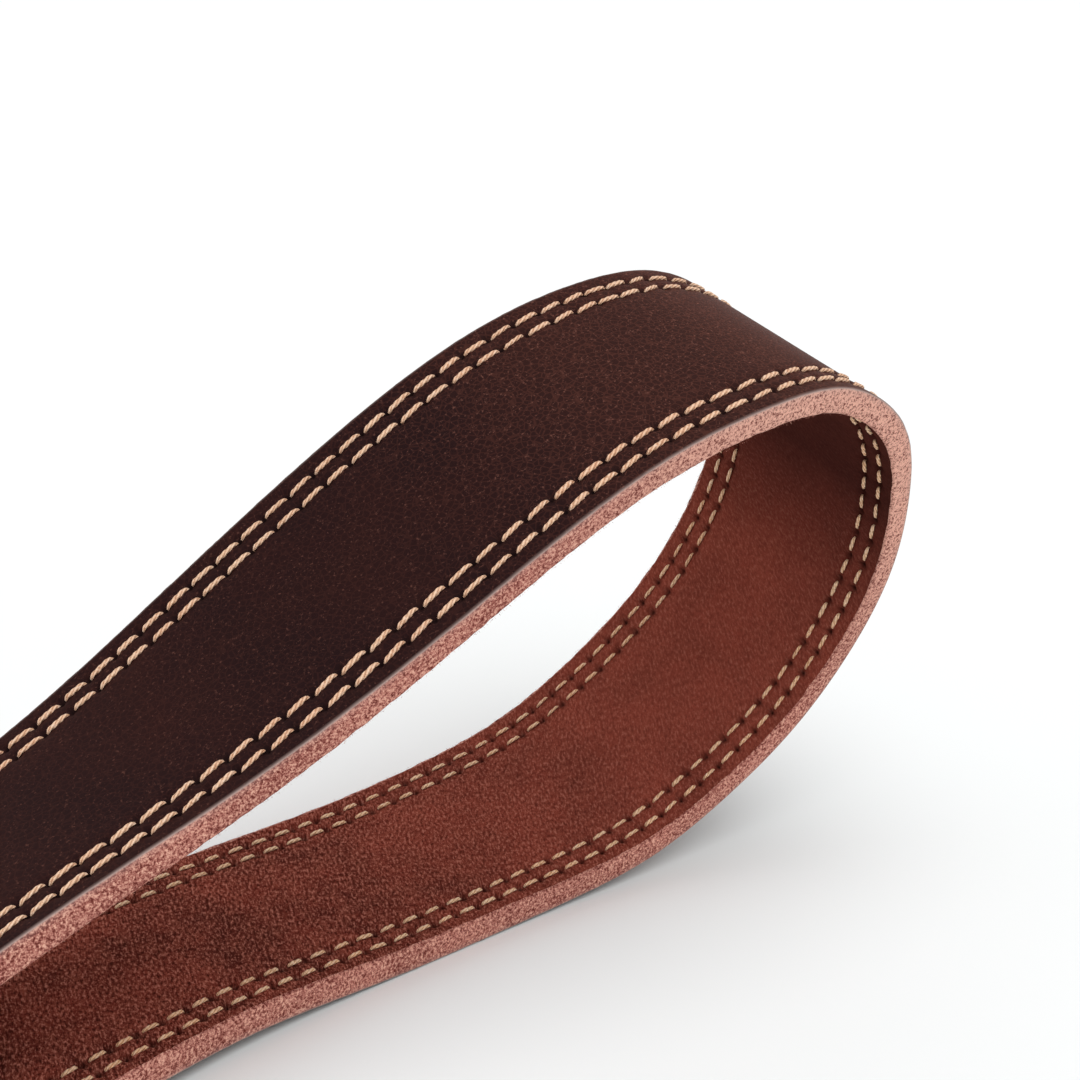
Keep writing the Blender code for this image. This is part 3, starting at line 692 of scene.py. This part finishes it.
def leather_mesh(name, run, fine, seed):
    """The strap's mesh, with fields for its materials: hole near a needle hole, where shade is painted into
    the holes, rim on the pale line at the grain's corner, bend where it is tightly bent with the grain
    outside, which also sets the painted light on the grain at the loop's crest, pressed for that bend
    averaged along the strap, and crest_light_and_shade for pressed where the grain side also faces up,
    which sets the painted shade on the flesh side under the crest and the painted light on the raw edge."""
    section = strap_section(fine)
    across, height, kind, rim = section.T
    on_grain = height >= HALF_THICK - ON_FACE
    on_flesh = height <= -HALF_THICK + ON_FACE
    girth = np.concatenate([[0.0], np.cumsum(np.hypot(np.diff(across), np.diff(height)))])
    lengths, widths = np.meshgrid(run.along, girth, indexing="ij")
    depth = np.zeros(lengths.shape)
    hole = np.zeros(lengths.shape)
    for side, face in ((1, on_grain), (-1, on_flesh)):
        depth[:, face], hole[:, face] = sewn_in(run, across[face], side)
    wave = cloud(lengths, widths, WAVE_SIZE, seed)
    lump = cloud(lengths, widths, LUMP_SIZE, seed + 1)
    grit = cloud(lengths, widths, GRIT_SIZE, seed + 2)
    depth[:, on_grain] += (GRAIN_WAVE * (1 + wave))[:, on_grain]
    uneven = FLESH_WAVE * (1 + wave) + FLESH_LUMP * (1 + lump) + FLESH_GRIT * (1 + grit)
    depth[:, on_flesh] += uneven[:, on_flesh]
    on_edge = ~(on_grain | on_flesh)
    inset = np.zeros(lengths.shape)
    inset[:, on_edge] = (EDGE_ROUGH * lump + EDGE_ROUGH * grit)[:, on_edge] * (1 - rim[on_edge])
    side = np.sign(height) * (on_grain | on_flesh)
    out = height[None, :] - side[None, :] * depth
    along_across = across[None, :] + np.sign(across)[None, :] * inset
    places = (
        run.centre[:, None, :]
        + run.across[:, None, :] * along_across[:, :, None]
        + run.outward[:, None, :] * out[:, :, None]
    )
    places[:, :, 2] = np.maximum(places[:, :, 2], 0.0)
    whole = girth[-1] + np.hypot(across[0] - across[-1], height[0] - height[-1])
    girths = np.append(girth, whole)
    map_places = np.stack(np.meshgrid(run.along, girths, indexing="ij"), axis=-1)
    bend = np.clip(run.stretch * FULL_PALE, 0, 1)
    span = int(NAP_PRESSED / run.along[1])
    pressed = np.convolve(bend, np.ones(span) / span, mode="same")
    # Where the crest's painted light and shade go: tightly bent, with the grain side facing up.
    crest_light_and_shade = pressed * (0.5 + 0.5 * run.outward[:, 2])
    values = {"hole": hole, "rim": np.tile(rim, (len(run.along), 1))}
    for key, field in (("bend", bend), ("pressed", pressed), ("crest_light_and_shade", crest_light_and_shade)):
        values[key] = np.tile(field[:, None], (1, len(rim)))
    return rolled_grid(name, places, map_places, kind.astype(int), values)


# ---------------------------------------------------------------- sewing

THREAD_WIDTH = 0.47 * MM
THREAD_PLIES = 3
PLY_SPACING = 0.7 * MM  # from one ply to the next, along a stitch
PLY_RELIEF = 0.1  # of the thread's radius
FLATTENED = 0.85  # height of a pulled-down thread over its width
GRAIN_SLANT = 6.0  # degrees between a stitch and its row
FLESH_SLANT = 1.0
THREAD_BELOW = 0.4 * MM  # how far a stitch hangs below its place, on a face that points down
FLOOR_ROOM = 0.03 * MM  # and how far above the floor it is kept


def stitch_shape(length, width, crown, sink, slant, rings, sides):
    """One stitch lying along +X, arched, its ends bent down into the needle holes."""
    t = np.linspace(-1.0, 1.0, rings)[:, None]
    turn = np.linspace(0.0, 2 * np.pi, sides + 1)[None, :]
    swell = 0.5 + 0.5 * np.sqrt(np.clip(1 - t**2, 0, 1))
    x = t * length / 2 + 0 * turn
    plies = 1 + PLY_RELIEF * np.sin(2 * np.pi * x / PLY_SPACING + THREAD_PLIES * turn)
    radius = width / 2 * swell * plies
    middle = crown - width / 2 - sink * t**8
    y = radius * np.cos(turn)
    z = middle + FLATTENED * radius * np.sin(turn)
    places = np.stack([x, y, z], axis=-1)[:, :sides]
    around = np.broadcast_to(turn / (2 * np.pi), x.shape)
    mesh = rolled_grid("stitch", places, np.stack([x, around], axis=-1))
    mesh.transform(Matrix.Rotation(math.radians(slant), 4, "Z"))
    return mesh


def stitch_pair(pitch, grain_grid, flesh_grid):
    """The grain side's stitch and the flesh side's, which is shorter, thinner and flatter."""
    grain = stitch_shape(0.88 * pitch, THREAD_WIDTH, 0.3 * MM, 0.22 * MM, GRAIN_SLANT, *grain_grid)
    flesh = stitch_shape(0.6 * pitch, 0.88 * THREAD_WIDTH, 0.28 * MM, 0.15 * MM, FLESH_SLANT, *flesh_grid)
    return grain, flesh


def row_places(run, row, end, side, keep, seed):
    """Matrices of one row's stitches on one face; end is -1 for the near edge and 1 for the far edge."""
    rng = np.random.default_rng(seed)
    across = end * (HALF_WIDTH - ROW_INSETS[row])
    found = []
    for number in range(run.stitches - 1):
        step = round((number + 0.5 + ROW_PHASES[row]) * run.steps_to_stitch)
        if not keep(run, step, side):
            continue
        matrix = run.place(step, across, HALF_THICK - GROOVES[side], side)
        low = matrix.translation.z + min(0.0, matrix[2][2]) * THREAD_BELOW
        if low < FLOOR_ROOM:
            matrix.translation.z += FLOOR_ROOM - low
        jiggle = Matrix.Rotation(math.radians(rng.normal(0, 2.2)), 4, "Z")
        size = Matrix.Diagonal((rng.normal(1, 0.04), rng.normal(1, 0.08), 1, 1))
        found.append(matrix @ jiggle @ size)
    return found


def box_places(length, centre, height):
    """Stitches round the sewn box that closes a lap."""
    found = []
    corners = [(-1, -1), (1, -1), (1, 1), (-1, 1)]
    sides = zip(corners, corners[1:] + corners[:1])
    for (x0, y0), (x1, y1) in sides:
        start = Vector((x0 * length / 2, y0 * TACK_WIDTH / 2, 0))
        end = Vector((x1 * length / 2, y1 * TACK_WIDTH / 2, 0))
        count = round((end - start).length / STITCH_PITCH)
        heading = Matrix.Rotation(math.atan2(end.y - start.y, end.x - start.x), 4, "Z")
        for i in range(count):
            at = start.lerp(end, (i + 0.5) / count) + Vector((*centre, height))
            found.append(Matrix.Translation(at) @ heading)
    return found


# ---------------------------------------------------------------- fibres


AT_CORNER = 0.62  # share of the fibres that grow at the flesh corner
LONG_SHARE = 0.01  # share of those that are long
LONG_TIMES = 3.0
FIBRE_LOWEST = -1.36 * MM  # from the middle of the strap's thickness
FIBRE_HIGHEST = 1.0 * MM
FIBRE_ROOT = 0.06 * MM  # how deep a fibre is rooted
FIBRE_CURL = 0.35  # how far its tip strays, as a share of its length
FIBRE_WIDTHS = (0.025, 0.05)  # mm
TIP_TAPER = 1.05  # share of its width at the root, and 1 less at the tip


def fibre_fringe(name, run, count, seed, material):
    """Short loose fibres on both raw edges, thickest at the flesh corner: a comb of blades, one per fibre."""
    rng = np.random.default_rng(seed)
    work = bmesh.new()
    bmesh.ops.create_grid(work, x_segments=2 * count - 1, y_segments=2, size=0.5)
    between = [
        face for face in work.faces
        if int(round((face.calc_center_median().x + 0.5) * (2 * count - 1) - 0.5)) % 2 == 1
    ]
    bmesh.ops.delete(work, geom=between, context="FACES")
    mesh = bpy.data.meshes.new(name)
    work.to_mesh(mesh)
    work.free()
    flat = np.empty(len(mesh.vertices) * 3, np.float32)
    mesh.vertices.foreach_get("co", flat)
    flat = flat.reshape(-1, 3)
    column = np.rint((flat[:, 0] + 0.5) * (2 * count - 1)).astype(int)
    blade, right = column // 2, column % 2
    level = flat[:, 1] + 0.5
    step = rng.integers(1, len(run.along) - 1, count)
    end = rng.choice([-1.0, 1.0], count)
    lean = rng.random(count)
    corner = lean < AT_CORNER
    height = np.where(corner, rng.normal(-1.22, 0.08, count), rng.uniform(-1.2, 0.9, count)) * MM
    height = np.clip(height, FIBRE_LOWEST, FIBRE_HIGHEST)
    reach = np.where(corner, rng.gamma(3.0, 0.022, count), rng.gamma(3.0, 0.016, count)) * MM
    reach *= np.where(corner & (rng.random(count) < LONG_SHARE), LONG_TIMES, 1.0)
    width = rng.uniform(*FIBRE_WIDTHS, count) * MM
    root = (
        run.centre[step]
        + run.across[step] * (end * (HALF_WIDTH - FIBRE_ROOT))[:, None]
        + run.outward[step] * height[:, None]
        + run.ahead[step] * (rng.uniform(-0.5, 0.5, count) * run.pitch / run.steps_to_stitch)[:, None]
    )
    down = np.where(corner, rng.uniform(-1.3, 0.1, count), rng.normal(0, 0.5, count))
    heading = (
        run.across[step] * end[:, None]
        + run.outward[step] * down[:, None]
        + run.ahead[step] * rng.normal(0, 0.7, count)[:, None]
    )
    heading /= np.linalg.norm(heading, axis=1, keepdims=True)
    curl = np.cross(heading, rng.normal(0, 1, (count, 3)))
    curl /= np.linalg.norm(curl, axis=1, keepdims=True)
    side = np.cross(heading, curl)
    there = (
        root[blade]
        + heading[blade] * (level * reach[blade])[:, None]
        + curl[blade] * (FIBRE_CURL * level**2 * reach[blade])[:, None]
        + side[blade] * ((right - 0.5) * width[blade] * (TIP_TAPER - level))[:, None]
    )
    there[:, 2] = np.maximum(there[:, 2], 0.0)
    mesh.vertices.foreach_set("co", there.astype(np.float32).ravel())
    return finish_mesh(name, mesh, [material])


# ---------------------------------------------------------------- building


LAP_OPENS = 38 * MM  # the hand loop's two layers have parted beyond this
FRINGE_FIBRES = 18000


def clear_of_lap(run, step, side):
    """Stitches are seen where the two layers of the hand loop have parted, and on every grain face."""
    return side > 0 or run.centre[step][0] > LAP_OPENS


def seen_on_lead(run, step, side):
    """Inside the snap's fold the flesh side is shut in, so its stitches stop there."""
    return side > 0 or run.centre[step][0] > SNAP_X + SNAP_LAP + 2 * MM


def make_hand_loop(leathers, threads):
    run = StrapRun(hand_loop_rows(), LOOP_STEPS)
    mesh = leather_mesh("hand_loop_strap", run, True, 11)
    strap = finish_mesh("hand_loop_strap", mesh, leathers)
    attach(strap, "leash")
    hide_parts("hand_loop")
    grain, flesh = stitch_pair(run.pitch, (13, 7), (10, 6))
    for side, shape, word in ((1, grain, "grain"), (-1, flesh, "flesh")):
        for end, edge in ((-1, "near"), (1, "far")):
            for row in ROW_INSETS:
                node = f"{word}_thread_{edge}_{row}"
                places = row_places(run, row, end, side, clear_of_lap, len(node) * 7 + side)
                piece = copies(f"{node}_stitches", shape, places, threads[side])
                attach(piece, "leash")
                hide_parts(node)
    places = box_places(HAND_TACK_LENGTH, (0.0, 0.0), LAP_TOP)
    box = copies("hand_lap_box_stitches", grain, places, threads[1])
    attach(box, "leash")
    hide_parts("hand_lap_tack")
    fuzz = fibre_fringe("hand_loop_edge_fibres", run, FRINGE_FIBRES, 5, leathers[RAW])
    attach(fuzz, "leash")


def make_lead(leathers, threads):
    rows = np.concatenate([lead_rows(), fold_rows()])
    run = StrapRun(rows, LEAD_STEPS)
    mesh = leather_mesh("lead_strap", run, False, 31)
    strap = finish_mesh("lead_strap", mesh, leathers)
    grain, flesh = stitch_pair(run.pitch, (6, 5), (5, 5))
    for side, shape, word in ((1, grain, "grain"), (-1, flesh, "flesh")):
        for end, edge in ((-1, "near"), (1, "far")):
            places = []
            for row in ROW_INSETS:
                places += row_places(run, row, end, side, seen_on_lead, 50 + len(places))
            piece = copies(f"lead_{word}_{edge}_stitches", shape, places, threads[side])
            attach(piece, "leash")
    tack_x = SNAP_X + SNAP_LAP - SNAP_TACK_SETBACK
    places = box_places(SNAP_TACK_LENGTH, (tack_x, SNAP_Y), LAP_TOP)
    box = copies("snap_lap_box_stitches", grain, places, threads[1])
    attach(box, "leash")
    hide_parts("snap_lap_tack")
    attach(strap, "leash")
    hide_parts("lead_stretch", "lead_coil", "snap_stretch", "snap_fold")


def finish_snap():
    cast = plated_metal("nickel-plated zinc casting", "#cfccc6", "#b4b1ab", 0.2, 0.34, 0.05 * MM)
    bar = plated_metal("nickel-plated steel bar", "#d4d1cb", "#bab7b1", 0.16, 0.28, 0.02 * MM)
    spring = plated_metal("spring steel wire", "#9a9a9c", "#7f7f82", 0.28, 0.4, 0.01 * MM)
    finishes = {
        "snap_body": cast, "thumb_knob": cast, "snap_eye": bar,
        "swivel_stud": bar, "bolt": bar, "bolt_spring": spring,
    }
    for node, material in finishes.items():
        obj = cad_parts[node]
        obj.data.materials.clear()
        obj.data.materials.append(material)
    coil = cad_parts["bolt_spring"]
    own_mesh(coil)


WORLD_LIGHT = 0.65
KEY_STRENGTH = 1.45
KEY_SPREAD = 60  # degrees
KEY_FROM = (-0.16, -0.3, 1.0)
FLOOR_SIZE = 12.0
FLOOR_DROP = 0.02 * MM  # the floor lies this far below the strap


def make_studio():
    scene = bpy.context.scene
    scene.view_settings.view_transform = "Standard"
    world = bpy.data.worlds.new("soft studio")
    scene.world = world
    world.use_nodes = True
    world.node_tree.nodes["Background"].inputs["Color"].default_value = colour("#ffffff")
    world.node_tree.nodes["Background"].inputs["Strength"].default_value = WORLD_LIGHT
    key = bpy.data.lights.new("wide key light", "SUN")
    key.angle = math.radians(KEY_SPREAD)
    key.energy = KEY_STRENGTH
    light = bpy.data.objects.new("wide key light", key)
    light.rotation_euler = Vector(KEY_FROM).to_track_quat("Z", "Y").to_euler()
    scene.collection.objects.link(light)
    work = bmesh.new()
    bmesh.ops.create_grid(work, x_segments=1, y_segments=1, size=FLOOR_SIZE)
    mesh = bpy.data.meshes.new("floor")
    work.to_mesh(mesh)
    work.free()
    material, _, shader = new_material("matt white floor")
    shader.inputs["Base Color"].default_value = colour("#f8fafa")
    shader.inputs["Roughness"].default_value = 0.9
    shader.inputs["Specular IOR Level"].default_value = 0.1
    floor = finish_mesh("floor", mesh, [material], smooth=False)
    floor.location.z = -FLOOR_DROP


def main():
    make_camera()
    leathers = [grain_leather(), flesh_leather(), raw_edge()]
    threads = {
        1: sewing_thread("waxed tan needle thread", "#f0b993", "#facda9"),
        # The looper thread is the needle thread painted paler: painted light on the flesh side's stitches,
        # which lie in shade.
        -1: sewing_thread("looper thread painted paler", "#fbc392", "#ffd6aa"),
    }
    make_lead(leathers, threads)
    make_hand_loop(leathers, threads)
    finish_snap()
    make_studio()


main()
